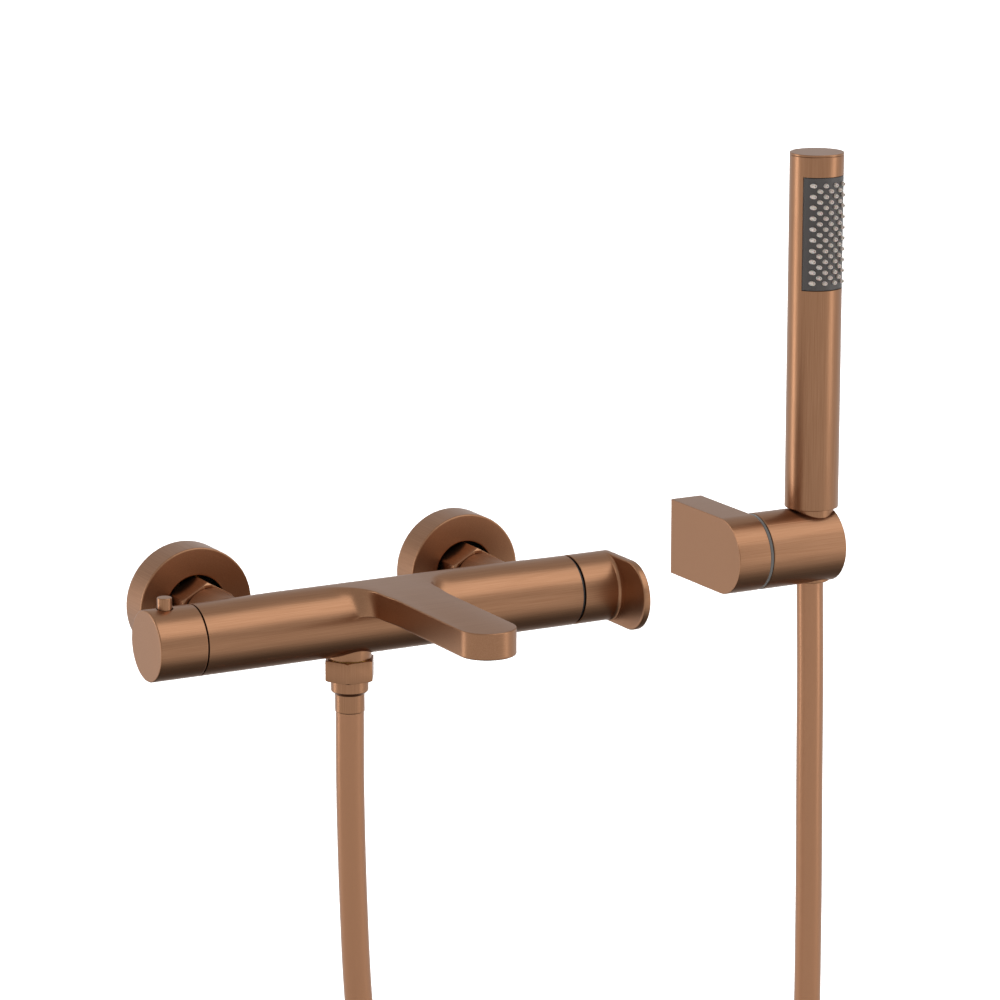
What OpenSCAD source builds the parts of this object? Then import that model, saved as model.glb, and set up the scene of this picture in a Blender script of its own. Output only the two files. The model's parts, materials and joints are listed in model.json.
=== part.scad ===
// Wall mounted thermostatic bath and shower mixer: cast body with a fixed spout, smooth shower hose,
// wall bracket with a turning holder, and a stick hand shower. Millimetres.
// The wall is the plane y = 0, the room is towards -Y, +Z is up.
// The origin is on the wall, midway between the two inlets, at the height of the mixer's axis.

/* [Mixer body] */
// Distance between the two water inlets, centre to centre
inlet_centres = 150; // [124:1:182]
// Distance from the wall to the axis of the mixer body
body_projection = 75; // [62:0.5:92]
// Diameter of the mixer body, the knob and the handle
body_d = 35; // [29:0.5:42]
// Length of the cast body between the knob and the handle
body_len = 204.4; // [170:0.2:246]
// Length of the temperature knob
knob_len = 24.8; // [20.6:0.1:30]
// Length of the flow handle along the body, paddle included
handle_len = 23.3; // [19.4:0.1:28]
// Distance from the axis to the round nose of the handle's paddle
paddle_reach = 41.1; // [34:0.1:50]
// Thickness of the handle's paddle
paddle_t = 3.7; // [3:0.1:4.5]

/* [Spout] */
// Distance from the wall to the tip of the spout
spout_reach = 194.5; // [162:0.5:234]
// Width of the spout
spout_w = 28; // [26:0.5:34]
// Thickness of the spout
spout_t = 13; // [11:0.5:15.6]
// Height of the spout's flat top above the top of the body
spout_rise = 0.6; // [0:0.1:2]

/* [Inlets] */
// Diameter of the wall rosettes
rosette_d = 60; // [50:1:72]
// Depth of the wall rosettes, from the wall to their front face
rosette_depth = 18; // [15:0.5:21.6]
// Width across flats of the union nuts
nut_af = 27; // [26:0.5:30]
// Outside diameter of the G1/2 pipe thread
pipe_thread_d = 20.955; // [20.9:0.005:21]

/* [Shower outlet and hose] */
// Sideways position of the shower outlet under the body
outlet_x = -19.4; // [-40:0.2:-16]
// Width across flats of the hose's hexagon nut
hose_nut_af = 23; // [23:0.5:27]
// Outside diameter of the smooth hose
hose_d = 14; // [12:0.5:16]

/* [Wall bracket] */
// Sideways position of the bracket's left face
bracket_x = 207.2; // [180:0.2:260]
// Width of the bracket's wall block
block_w = 18.8; // [16:0.2:23]
// Height of the bracket, and diameter of its nose, ring and holder
bracket_d = 40; // [34:0.5:48]
// Distance from the wall to the bracket's pivot axis
bracket_reach = 50; // [42:0.5:60]
// Length of the turning holder
holder_len = 44; // [38:0.2:52]

/* [Hand shower] */
// Diameter of the hand shower's tube
tube_d = 28; // [25:0.5:33]
// Length of the hand shower's tube
tube_len = 186; // [155:1:224]
// Height of the spray window
window_h = 58.8; // [49:0.2:70]
// Distance from the spray window to the top of the tube
window_top = 11.5; // [9:0.5:14]
// Height of the tube's lower end above the bracket's pivot axis
tube_lift = 20.5; // [20.4:0.1:24]

/* [Hidden] */
$fn = 64;

copper = [0.69, 0.49, 0.37];
brass = [0.80, 0.68, 0.40];
steel = [0.72, 0.72, 0.70];
black = [0.10, 0.10, 0.11];
dark = [0.29, 0.27, 0.27];
grey = [0.45, 0.43, 0.42];
pale = [0.72, 0.68, 0.65];
white = [0.90, 0.90, 0.88];

// mixer body, derived
R = body_d / 2;
k = R / 17.5;
yb = -body_projection;
half = max(body_len / 2, inlet_centres / 2 + 16);
xb0 = -half;
xb1 = half;
xi = inlet_centres / 2;
sp_top = R + spout_rise;
sp_bot = sp_top - spout_t;
sp_mid = (sp_top + sp_bot) / 2;
sp_r = spout_w / 2;
sp_y = -spout_reach + sp_r;
aer_r = 11;
screen_r = 9.4;
gap_k = 0.5;
gap_h = 1.7;
boss_r = 13;
// running clearance of the spindles and other turning fits
run = 0.06;
// pocket for a cartridge, the collar that screws into it, its neck and the two spindles
pocket_r = 14.5 * k;
collar_r = 14.4 * k;
neck_r = 8 * k;
t_spindle_r = 4 * k;
f_spindle_r = 3.5 * k;
// water galleries: distance from the axis and radius
gal = 9.6 * k;
gal_r = 3.4 * k;
// the three ports of the flow cartridge
port_r = 2.2 * k;
ports = [[0.8 * gal, 0], [-0.8 * gal, 0], [0, -0.8 * gal]];
// knob
xk1 = xb0 - gap_k;
xk0 = xk1 - knob_len;
btn_x = xk0 + 9.9;
btn_r = 3.6;
btn_top = R + 5.5;
// handle
xh0 = xb1 + gap_h;
xh1 = xh0 + handle_len;
// inlets
rr = rosette_d / 2;
nut_y = -(rosette_depth + 14);
nut_c = nut_af / 2 / cos(30);
nut_thread_r = 11.9;
socket_r = 9.2;
inlet_bore_r = 6;
thread_r = pipe_thread_d / 2;
thread_len = 15;
union_bore_r = 7;
web_t = 3;
web_l = 4;
// shower outlet
z_stub = -R - 1.6;
z_nut = -R - 1.8;
z_nut2 = z_nut - 10.5;
z_slv = z_nut2 - 7.4;
z_hose = z_slv - 8.9;
hr = hose_d / 2;
// bracket
bz = bracket_d / 2;
bolt_r = 4;
head_r = 7.5;
screw_r = 2;
screw_dz = 0.45 * bz;
by = -bracket_reach;
bx0 = bracket_x;
bx1 = bracket_x + block_w;
bxm = (bx0 + bx1) / 2;
hx0 = bx1 + 2;
hx1 = hx0 + holder_len;
ax = hx1 - 9.5;
cone_top = bz + 0.2;
cone_bot = 1 - bz;
function cone_r(z) = 10 + 1.7 * (z - cone_bot) / (cone_top - cone_bot);
// washer seat inside the cone nut, and the lower end of the hose end that lifts out with it
seat_z = 7.9;
tail_z = -bz - 1.5;
main_z = -bz - 4.5;
// hand shower
tr = tube_d / 2;
tw = 1.5;
t0 = tube_lift;
t1 = tube_lift + tube_len;
w1 = t1 - window_top;
w0 = w1 - window_h;
win = tr * sin(61.5);
// clearance round the spray plate, the radius inside the nozzle mat, and the plane where the mat ends
// and the chamber's rim begins
win_gap = 0.3;
mat_r = tr - 2.8;
seat_y = by - 0.35 * win;
nozzle_r = 1.1;
nozzle_dx = 2.9 * tr / 14;
nozzle_dz = 5.6;
rows = floor((window_h - 6) / nozzle_dz) + 1;

module xcyl(x0, x1, r, y = 0, z = 0, r2 = -1)
  translate([x0, y, z]) rotate([0, 90, 0]) cylinder(h = x1 - x0, r1 = r, r2 = r2 < 0 ? r : r2);
// along -Y, from y0 down to y1
module ycyl(y0, y1, r, x = 0, z = 0, r2 = -1)
  translate([x, y0, z]) rotate([90, 0, 0]) cylinder(h = y0 - y1, r1 = r, r2 = r2 < 0 ? r : r2);
module zcyl(z0, z1, r, x = 0, y = 0, r2 = -1)
  translate([x, y, z0]) cylinder(h = z1 - z0, r1 = r, r2 = r2 < 0 ? r : r2);
module xring(x0, x1, ro, ri, y = 0, z = 0)
  difference() { xcyl(x0, x1, ro, y, z); xcyl(x0 - 1, x1 + 1, ri, y, z); }
module yring(y0, y1, ro, ri, x = 0, z = 0)
  difference() { ycyl(y0, y1, ro, x, z); ycyl(y0 + 1, y1 - 1, ri, x, z); }
module zring(z0, z1, ro, ri, x = 0, y = 0)
  difference() { zcyl(z0, z1, ro, x, y); zcyl(z0 - 1, z1 + 1, ri, x, y); }
module box(a, b) translate(a) cube(b - a);

// ---------- mixer body ----------
module mixer_body() color(copper) difference() {
  union() {
    xcyl(xb0, xb1, R, yb);
    // spout: flat plate with a round tip
    box([-sp_r, sp_y, sp_bot], [sp_r, yb, sp_top]);
    zcyl(sp_bot, sp_top, sp_r, 0, sp_y);
    // the spout widens where it grows out of the body
    intersection() {
      box([-60, yb - R - 14, sp_bot], [60, yb + 4, sp_top]);
      ycyl(yb + 5, yb - R - 10, R + 14, 0, sp_mid, sp_r);
    }
    for (s = [-1, 1]) ycyl(nut_y - 0.5, yb, boss_r, s * xi);
    zcyl(z_stub, -R + 6, 10.8, outlet_x, yb);
  }
  // cartridge pockets
  xcyl(xb0 - 1, xb0 + 60, pocket_r, yb);
  xcyl(xb1 - 50, xb1 + 1, pocket_r, yb);
  // cold gallery, mixed water gallery, spout gallery, shower gallery
  xcyl(xb0 + 59, xb1 - 49, 2.6 * k, yb, 12.2 * k);
  xcyl(xb0 + 59, xb1 - 49, gal_r, yb + gal, 0);
  xcyl(-4, xb1 - 49, gal_r, yb - gal, 0);
  xcyl(outlet_x - 4, xb1 - 49, gal_r, yb, -gal);
  // spout waterway and aerator seat
  zcyl(-3, sp_mid, 3.2, 0, yb - gal);
  ycyl(yb - gal + 3, sp_y, 4, 0, sp_mid);
  zcyl(sp_bot - 1, sp_bot + 8, aer_r, 0, sp_y);
  // inlet sockets
  for (s = [-1, 1]) {
    ycyl(nut_y + 1, nut_y - 18, socket_r, s * xi);
    ycyl(nut_y - 17, yb, inlet_bore_r, s * xi);
  }
  // shower outlet socket
  zcyl(z_stub - 1, -R + 5.4, 8.8, outlet_x, yb);
  zcyl(-R + 5, -8 * k, 5, outlet_x, yb);
}

module inlet_union(s) color(brass) difference() {
  union() {
    ycyl(thread_len, 0, thread_r, s * xi);
    ycyl(0, -4, 14, s * xi);
    ycyl(-4, nut_y + 19, 12.4, s * xi);
    ycyl(nut_y + 19, nut_y + 10, nut_thread_r, s * xi);
  }
  // the water's bore, with a web across it that the fitting key turns
  difference() {
    ycyl(thread_len + 1, nut_y + 9, union_bore_r, s * xi);
    box([s * xi - web_t / 2, (thread_len - web_l) / 2, -union_bore_r],
        [s * xi + web_t / 2, (thread_len + web_l) / 2, union_bore_r]);
  }
}
module wall_union_left() inlet_union(-1);
module wall_union_right() inlet_union(1);

module rosette(s) color(copper) difference() {
  union() {
    ycyl(0, 1 - rosette_depth, rr, s * xi);
    ycyl(1 - rosette_depth, -rosette_depth, rr, s * xi, 0, rr - 1);
  }
  ycyl(1, 2.4 - rosette_depth, rr - 2, s * xi);
  ycyl(1, -rosette_depth - 1, nut_c + 0.4, s * xi);
}
module rosette_left() rosette(-1);
module rosette_right() rosette(1);
module rosette_seals() color(black) for (s = [-1, 1]) yring(0, -4, rr - 2, 14, s * xi);

module inlet_nut(s) color(copper) difference() {
  intersection() {
    translate([s * xi, nut_y + 18.5, 0]) rotate([90, 0, 0]) rotate([0, 0, 30])
      cylinder(h = 18.5, r = nut_c, $fn = 6);
    union() {
      ycyl(nut_y + 18.5, nut_y + 1.6, nut_c, s * xi);
      ycyl(nut_y + 1.6, nut_y, nut_c, s * xi, 0, nut_c - 2.4);
    }
  }
  ycyl(nut_y + 20, nut_y + 3.6, nut_thread_r, s * xi);
  ycyl(nut_y + 5, nut_y - 1, 9.3, s * xi);
}
module inlet_nut_left() inlet_nut(-1);
module inlet_nut_right() inlet_nut(1);

module inlet_nipples() color(brass) for (s = [-1, 1]) difference() {
  union() {
    ycyl(nut_y + 7.6, nut_y + 3.6, 11.6, s * xi);
    ycyl(nut_y + 3.6, nut_y - 17.5, socket_r, s * xi);
  }
  ycyl(nut_y + 9, nut_y - 18, inlet_bore_r, s * xi);
}
module filter_washers() color(steel) for (s = [-1, 1]) difference() {
  ycyl(nut_y + 10, nut_y + 7.6, 11.6, s * xi);
  for (a = [0:60:300]) ycyl(nut_y + 11, nut_y + 7, 1.2, s * xi + 3.6 * cos(a), 3.6 * sin(a));
  ycyl(nut_y + 11, nut_y + 7, 1.2, s * xi);
}
module inlet_check_valves() color(white) for (s = [-1, 1]) difference() {
  ycyl(nut_y + 5, nut_y - 10, inlet_bore_r, s * xi);
  ycyl(nut_y + 6, nut_y + 1, 4.6, s * xi);
  ycyl(nut_y + 2, nut_y - 11, 2.6, s * xi);
}

// ---------- thermostat side ----------
module thermostat_cartridge() color(brass) difference() {
  union() {
    xcyl(xb0 - 6, xb0 + 4, neck_r, yb);
    xcyl(xb0 + 4, xb0 + 8, collar_r, yb);
    xcyl(xb0 + 8, xb0 + 56, 12.2 * k, yb);
  }
  xcyl(xb0 - 7, xb0 + 21, t_spindle_r + run, yb);
  xcyl(xb0 + 20, xb0 + 52, 9 * k, yb);
  // hot, cold and mixed water ports
  for (a = [0:60:300]) {
    translate([xb0 + 31, yb, 0]) rotate([a, 0, 0]) zcyl(0, 20 * k, 2.4);
    translate([xb0 + 45, yb, 0]) rotate([a, 0, 0]) zcyl(0, 20 * k, 2.4);
  }
  xcyl(xb0 + 50, xb0 + 57, 6 * k, yb);
}
module thermostat_orings() color(black)
  for (x = [12, 37, 51]) xring(xb0 + x, xb0 + x + 2.2, pocket_r, 12.2 * k, yb);
module cartridge_nuts() color(brass) {
  xring(xb0, xb0 + 4, collar_r, neck_r, yb);
  xring(xb1 - 4, xb1, collar_r, neck_r, yb);
}
module stop_ring() color(black) {
  xring(xb0 - 3.6, xb0, 13 * k, neck_r, yb);
}

module temperature_knob() color(copper) difference() {
  union() {
    xcyl(xk0, xk0 + 0.8, R - 0.8, yb, 0, R);
    xcyl(xk0 + 0.8, xk1, R, yb);
  }
  xcyl(xk0 + 3.5, xk1 + 1, 15 * k, yb);
  zcyl(R - 5 * k, R + 2, btn_r + 0.55, btn_x, yb);
}
module knob_insert() color(black) difference() {
  xcyl(xk0 + 3.5, xk1 - 4.6, 15 * k, yb);
  xcyl(xk0 + 6.5, xk1, t_spindle_r, yb);
  xcyl(xb0 - 6.4, xk1, neck_r + 0.4 * k, yb);
  zcyl(5.6 * k, 20 * k, btn_r + 0.05, btn_x, yb);
  zcyl(9.6 * k, 20 * k, btn_r + 1.15, btn_x, yb);
  // lightening holes
  for (a = [60:60:300]) translate([0, yb, 0]) rotate([a, 0, 0]) xcyl(xk0 + 5, xk1, 2.4 * k, 0, 11.4 * k);
}
module temperature_spindle() color(brass) {
  xcyl(xk0 + 6.5, xb0 + 22, t_spindle_r, yb);
  xcyl(xb0 + 22, xb0 + 26, 7 * k, yb);
}
module stop_button() color(copper) {
  zcyl(9.4 * k, btn_top - 0.4, btn_r, btn_x, yb);
  zcyl(btn_top - 0.4, btn_top, btn_r, btn_x, yb, btn_r - 0.4);
  zcyl(12.3 * k, 12.3 * k + 1.3, btn_r + 1.05, btn_x, yb);
}
// a coil spring swept along a helix
function helix(i, n, r, z0, z1, turns) =
  let (a = 360 * turns * i / n) [r * cos(a), r * sin(a), z0 + (z1 - z0) * i / n];
module button_spring() color(steel) {
  n = 36;
  m = 6;
  z0 = 5.6 * k + 0.3;
  z1 = 9.4 * k - 0.3;
  pts = [for (i = [0:n]) for (j = [0:m - 1])
    let (a = 1080 * i / n, c = helix(i, n, 2.5, z0, z1, 3), b = 360 * j / m)
    [btn_x + c[0] + 0.25 * cos(b) * cos(a), yb + c[1] + 0.25 * cos(b) * sin(a), c[2] - 0.25 * sin(b)]];
  faces = concat(
    [[for (j = [0:m - 1]) j]],
    [for (i = [0:n - 1]) for (j = [0:m - 1])
      [i * m + j, (i + 1) * m + j, (i + 1) * m + (j + 1) % m, i * m + (j + 1) % m]],
    [[for (j = [m - 1:-1:0]) n * m + j]]);
  polyhedron(points = pts, faces = faces, convexity = 8);
}

// ---------- flow and diverter side ----------
module flow_cartridge() color(white) difference() {
  union() {
    xcyl(xb1 - 46, xb1 - 8, 13 * k, yb);
    xcyl(xb1 - 8, xb1 - 4, collar_r, yb);
    xcyl(xb1 - 4, xb1 + 5.4, neck_r, yb);
  }
  xcyl(xb1 - 47, xb1 - 33.5, 11.4 * k, yb);
  xcyl(xb1 - 34, xb1 + 6, f_spindle_r + run, yb);
}
module flow_base_seal() color(black) difference() {
  xcyl(xb1 - 50, xb1 - 46, 13 * k, yb);
  for (p = ports) xcyl(xb1 - 51, xb1 - 45, port_r, yb + p[0], p[1]);
}
module ceramic_disc_fixed() color(white) difference() {
  xcyl(xb1 - 46, xb1 - 42, 11.4 * k, yb);
  for (p = ports) xcyl(xb1 - 51, xb1 - 41, port_r, yb + p[0], p[1]);
}
module spacer_ring() color(black) xring(xb1, xb1 + gap_h - 0.35, R - 1, neck_r, yb);

module flow_handle() color(copper) difference() {
  union() {
    xcyl(xh0, xh1 - 0.5, R, yb);
    // paddle: a flat plate across the end with a round nose
    xcyl(xh1 - paddle_t, xh1 - 0.5, R, yb - paddle_reach + R);
    box([xh1 - paddle_t, yb - paddle_reach + R, -R], [xh1 - 0.5, yb, R]);
    // small bevel round the outer face
    xcyl(xh1 - 0.5, xh1, R, yb, 0, R - 0.5);
    xcyl(xh1 - 0.5, xh1, R, yb - paddle_reach + R, 0, R - 0.5);
    box([xh1 - 0.5, yb - paddle_reach + R, 0.5 - R], [xh1, yb, R - 0.5]);
  }
  xcyl(xh0 - 1, xh0 + 7.5, 12 * k, yb);
  xcyl(xh0, xh0 + 14, f_spindle_r, yb);
  zcyl(-R - 1, 0, 2, xh0 + 10.8, yb);
}
module flow_spindle() color(brass) {
  xcyl(xb1 - 38, xb1 - 34, 8 * k, yb);
  xcyl(xb1 - 34.5, xh0 + 14, f_spindle_r, yb);
}
module ceramic_disc_turning() color(white) difference() {
  xcyl(xb1 - 41.9, xb1 - 38, 11.2 * k, yb);
  for (z = [7.4 * k, -7.4 * k]) xcyl(xb1 - 43, xb1 - 39.5, port_r, yb, z);
}
module handle_grub_screw() color(steel) difference() {
  zcyl(-R + 1, -3.5 * k, 2, xh0 + 10.8, yb);
  translate([xh0 + 10.8, yb, -R]) cylinder(h = 4, r = 1.15, $fn = 6);
}

// ---------- spout end and shower outlet ----------
module aerator_housing() color(grey) difference() {
  zcyl(sp_bot, sp_bot + 6.5, aer_r, 0, sp_y);
  zcyl(sp_bot - 1, sp_bot + 2, screen_r, 0, sp_y);
  zcyl(sp_bot + 1, sp_bot + 7, 8.6, 0, sp_y);
}
module aerator_screen() color(steel) difference() {
  zcyl(sp_bot + 1, sp_bot + 2, screen_r, 0, sp_y);
  for (i = [-3:3]) for (j = [-3:3]) if (i * i + j * j < 12)
    translate([i * 2.3, sp_y + j * 2.3, sp_bot]) cylinder(h = 3, r = 0.8, $fn = 16);
}
module outlet_nipple() color(brass) difference() {
  union() {
    zcyl(z_stub, -R + 5.4, 8.8, outlet_x, yb);
    zcyl(z_nut2 + 5.1, z_stub, thread_r, outlet_x, yb);
  }
  zcyl(z_nut2, -R + 6, 5, outlet_x, yb);
}
module outlet_check_valve() color(white) difference() {
  zcyl(z_nut2 + 6.5, -R + 4, 5, outlet_x, yb);
  zcyl(z_nut2 + 6, z_stub, 3.8, outlet_x, yb);
  zcyl(z_stub - 1, -R + 5, 2.2, outlet_x, yb);
}
module hose_washer() color(black) zring(z_nut2 + 3.1, z_nut2 + 5.1, 10.2, 5, outlet_x, yb);
module hose_hex_nut() color(copper) difference() {
  intersection() {
    translate([outlet_x, yb, z_nut2]) cylinder(h = z_nut - z_nut2, r = hose_nut_af / 2 / cos(30), $fn = 6);
    union() {
      zcyl(z_nut2, z_nut2 + 1, hose_nut_af / 2 - 0.3, outlet_x, yb, hose_nut_af / 2 / cos(30));
      zcyl(z_nut2 + 1, z_nut - 0.8, hose_nut_af / 2 / cos(30), outlet_x, yb);
      zcyl(z_nut - 0.8, z_nut, hose_nut_af / 2 / cos(30), outlet_x, yb, hose_nut_af / 2 - 0.1);
    }
  }
  zcyl(z_nut2 + 1.5, z_nut + 1, thread_r, outlet_x, yb);
  zcyl(z_nut2 - 1, z_nut2 + 2, 8.6, outlet_x, yb);
}
module hose_sleeve() color(copper) difference() {
  union() {
    zcyl(z_nut2 + 1.5, z_nut2 + 3.1, 10.2, outlet_x, yb);
    zcyl(z_nut2, z_nut2 + 1.5, 8.6, outlet_x, yb);
    zcyl(z_slv + 1.2, z_nut2, 9.25, outlet_x, yb);
    zcyl(z_slv, z_slv + 1.2, 8.2, outlet_x, yb, 9.25);
    zcyl(z_hose, z_slv, hr + 0.3, outlet_x, yb);
  }
  zcyl(z_hose - 1, z_nut2 + 4, 5, outlet_x, yb);
}

// ---------- hose ----------
// The route as x, z points, from the mixer's outlet down and round to the holder. Its two ends follow
// the outlet and the holder, and y goes evenly from the one to the other.
dx_out = outlet_x + 19.4;
dx_hold = ax - 262.5;
route = [
  [-19.4 + dx_out, z_hose], [-18.8 + dx_out, -90], [-16.9 + dx_out, -145], [-13.6 + dx_out, -200], [-6, -272],
  [6, -352], [25, -432], [52, -504], [88, -555], [138, -574], [187, -556], [220, -506], [242, -434],
  [255, -354], [260.8 + dx_hold, -275], [262.2 + dx_hold, -200], [262.3 + dx_hold, -130],
  [262.6 + dx_hold, -70], [262.5 + dx_hold, main_z]
];
nr = len(route) - 1;
function clampi(i) = min(max(i, 0), nr);
// Catmull-Rom point number i + t of the route
function cr(a, b, c, d, t) = 0.5 * (2 * b + (c - a) * t + (2 * a - 5 * b + 4 * c - d) * t * t
  + (3 * b - 3 * c + d - a) * t * t * t);
function rp(u) = let (i = min(floor(u), nr - 1), t = u - i,
    p = cr(i == 0 ? 2 * route[0] - route[1] : route[i - 1], route[i], route[i + 1],
           i + 2 > nr ? 2 * route[nr] - route[nr - 1] : route[i + 2], t))
  [p[0], yb + (by - yb) * u / nr, p[1]];
per = 3;
steps = nr * per;
centre = [for (i = [0:steps]) rp(i / per)];
function unit(v) = v / norm(v);
module hose_main() color(copper) {
  m = 12;
  pts = [for (i = [0:steps])
    let (t = i == 0 ? [0, 0, -1] : i == steps ? [0, 0, 1] : unit(centre[i + 1] - centre[i - 1]),
         n1 = unit(cross([0, 1, 0], t)), n2 = cross(t, n1))
    for (j = [0:m - 1]) centre[i] + hr * (cos(360 * j / m) * n1 + sin(360 * j / m) * n2)];
  faces = concat(
    [[for (j = [0:m - 1]) j]],
    [for (i = [0:steps - 1]) for (j = [0:m - 1])
      [i * m + j, (i + 1) * m + j, (i + 1) * m + (j + 1) % m, i * m + (j + 1) % m]],
    [[for (j = [m - 1:-1:0]) steps * m + j]]);
  polyhedron(points = pts, faces = faces, convexity = 10);
}
module hose_tail() color(copper) zring(tail_z, 7.5, hr, 4, ax, by);
module cone_sleeve() color(brass) zring(-10, seat_z, hr + 0.6, hr, ax, by);
module cone_nut() color(copper) difference() {
  zcyl(cone_bot, cone_top, cone_r(cone_bot), ax, by, cone_r(cone_top));
  zcyl(seat_z, cone_top + 1, thread_r + run, ax, by);
  zcyl(cone_bot - 1, 9, hr + 0.6, ax, by);
}
module cone_washer() color(black) zring(seat_z, seat_z + 4, thread_r + run, 5, ax, by);

// ---------- wall bracket ----------
module bracket_block() color(copper) difference() {
  union() {
    box([bx0, by, -bz], [bx1, 0, bz]);
    xcyl(bx0, bx1, bz, by);
  }
  box([bx0 + 3, -8, 5 - bz], [bx1 - 3, 1, bz - 5]);
  xcyl(bx0 + 6, bx1 + 1, bolt_r, by);
  zcyl(-bz - 1, 6 - bz, 2, bxm, -3);
}
module bracket_wall_plate() color(steel) difference() {
  box([bx0 + 3.2, -6, 5.2 - bz], [bx1 - 3.2, 0, bz - 5.2]);
  for (s = [-1, 1]) {
    ycyl(1, -7, screw_r + 0.2, bxm, s * screw_dz);
    ycyl(-3.6, -6.01, screw_r + 0.2, bxm, s * screw_dz, 4.2);
  }
}
module bracket_grub_screw() color(steel) difference() {
  zcyl(0.6 - bz, 5.2 - bz, 2, bxm, -3);
  translate([bxm, -3, -bz]) cylinder(h = 3, r = 1.15, $fn = 6);
}
module pivot_bolt() color(steel) difference() {
  union() {
    xcyl(bx0 + 6, hx0 + 12, bolt_r, by);
    xcyl(hx0 + 12, hx0 + 17, head_r, by);
  }
  translate([hx0 + 14, by, 0]) rotate([0, 90, 0]) cylinder(h = 4, r = 2.9, $fn = 6);
}
module pivot_washer() color(steel) xring(hx0 + 8.4, hx0 + 12, head_r, bolt_r, by);
module friction_ring() color(grey) xring(bx1, hx0 - 0.3, bz - 0.4, bolt_r, by);
module holder() color(copper) difference() {
  union() {
    xcyl(hx0, hx1 - 0.6, bz, by);
    xcyl(hx1 - 0.6, hx1, bz, by, 0, bz - 0.6);
  }
  xcyl(hx0 - 1, hx0 + 9, bolt_r + run, by);
  xcyl(hx0 + 8, ax, head_r + 0.5, by);
  zcyl(-bz - 1, bz + 1, cone_r(-bz - 1) + 0.08, ax, by, cone_r(bz + 1) + 0.08);
  box([ax, by - hr - 0.6, -bz - 1], [hx1 + 1, by + hr + 0.6, bz + 1]);
}

// ---------- hand shower ----------
module shower_tube() color(copper) difference() {
  union() {
    zcyl(t0, t0 + 0.8, tr - 0.8, ax, by, tr);
    zcyl(t0 + 0.8, t1 - 1.2, tr, ax, by);
  }
  zcyl(t0 + 3, t1 + 1, tr - tw, ax, by);
  zcyl(t0 - 1, t0 + 4, 9, ax, by);
  box([ax - win, by - tr - 1, w0], [ax + win, by, w1]);
}
module shower_cap() color(copper) {
  zcyl(t1 - 1.2, t1 - 0.3, tr, ax, by);
  zcyl(t1 - 0.3, t1, tr, ax, by, tr - 0.3);
  zcyl(t1 - 5, t1 - 1.2, tr - tw, ax, by);
}
function ncol(i) = nozzle_dx * (i - 3);
function nz(i, j) = (w0 + w1) / 2 + nozzle_dz * (j - (rows - 1) / 2 + (i % 2) * 0.5);
module nozzle_set(r, out) for (i = [0:6]) for (j = [0:rows - 1 - i % 2])
  translate([ax + ncol(i), by - 8, nz(i, j)]) rotate([90, 0, 0])
    cylinder(h = sqrt(pow(tr + out, 2) - pow(ncol(i), 2)) - 8, r = r, $fn = 16);
module spray_plate() color(dark) difference() {
  intersection() {
    zring(w0 + win_gap, w1 - win_gap, tr - 0.15, tr - tw + 0.05, ax, by);
    box([ax - win + win_gap, by - tr - 1, w0], [ax + win - win_gap, by, w1]);
  }
  nozzle_set(nozzle_r + 0.1, 3);
}
module spray_nozzles() color(pale) {
  intersection() {
    zring(w0 + 2, w1 - 2, tr - tw, mat_r, ax, by);
    box([ax - win + 1, by - tr - 1, w0], [ax + win - 1, seat_y - win_gap, w1]);
  }
  difference() {
    nozzle_set(nozzle_r, 1.3);
    zcyl(w0 - 1, w1 + 1, mat_r + 0.6, ax, by);
  }
}
module spray_chamber() color(white) difference() {
  intersection() {
    zcyl(w0 - 6, w1 + 3, tr - tw, ax, by);
    box([ax - tr, seat_y, w0 - 10], [ax + tr, by + tr, w1 + 10]);
  }
  intersection() {
    zcyl(w0, w1 - 1, tr - tw - 2, ax, by);
    box([ax - tr, by - tr, w0 - 10], [ax + tr, by + 6, w1 + 10]);
  }
  zcyl(w0 - 7, w0 + 1, 4, ax, by);
}
module feed_pipe() color(white) zring(t0 + 8, w0 - 6, 5.5, 4, ax, by);
module shower_thread_end() color(brass) difference() {
  union() {
    zcyl(12, t0, thread_r, ax, by);
    zcyl(t0, t0 + 3, 9, ax, by);
    zcyl(t0 + 3, t0 + 8, tr - tw, ax, by);
  }
  zcyl(11, t0 + 9, 4, ax, by);
}
module shower_oring() color(black) zring(t0 + 8, t0 + 10, tr - tw, tr - tw - 2, ax, by);

mixer_body();
wall_union_left();
wall_union_right();
rosette_left();
rosette_right();
rosette_seals();
inlet_nut_left();
inlet_nut_right();
inlet_nipples();
filter_washers();
inlet_check_valves();
thermostat_cartridge();
thermostat_orings();
cartridge_nuts();
stop_ring();
flow_cartridge();
flow_base_seal();
ceramic_disc_fixed();
spacer_ring();
aerator_housing();
aerator_screen();
outlet_nipple();
outlet_check_valve();
temperature_knob();
knob_insert();
temperature_spindle();
stop_button();
button_spring();
flow_handle();
flow_spindle();
ceramic_disc_turning();
handle_grub_screw();
hose_washer();
hose_hex_nut();
hose_sleeve();
hose_main();
hose_tail();
cone_nut();
cone_sleeve();
cone_washer();
bracket_block();
bracket_wall_plate();
bracket_grub_screw();
pivot_bolt();
pivot_washer();
friction_ring();
holder();
shower_tube();
shower_cap();
spray_plate();
spray_nozzles();
spray_chamber();
feed_pipe();
shower_thread_end();
shower_oring();
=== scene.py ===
# %% [markdown]
# # A wall mounted bath and shower mixer, in brushed copper
#
# The mixer is a turned barrel on two wall inlets, with a cast spout, a temperature knob on the left and a
# flow handle on the right. A smooth hose hangs from it and goes up to a stick hand shower, which stands in
# a tilting holder on its own wall bracket. The CAD frame already holds every part at its real size, so this
# lesson only makes the surfaces that the eye sees: rounded edges, soft blends and brushed metal.

# %% Load the frame
import json
import math
import bmesh
import bpy
from mathutils import Matrix, Vector


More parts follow.
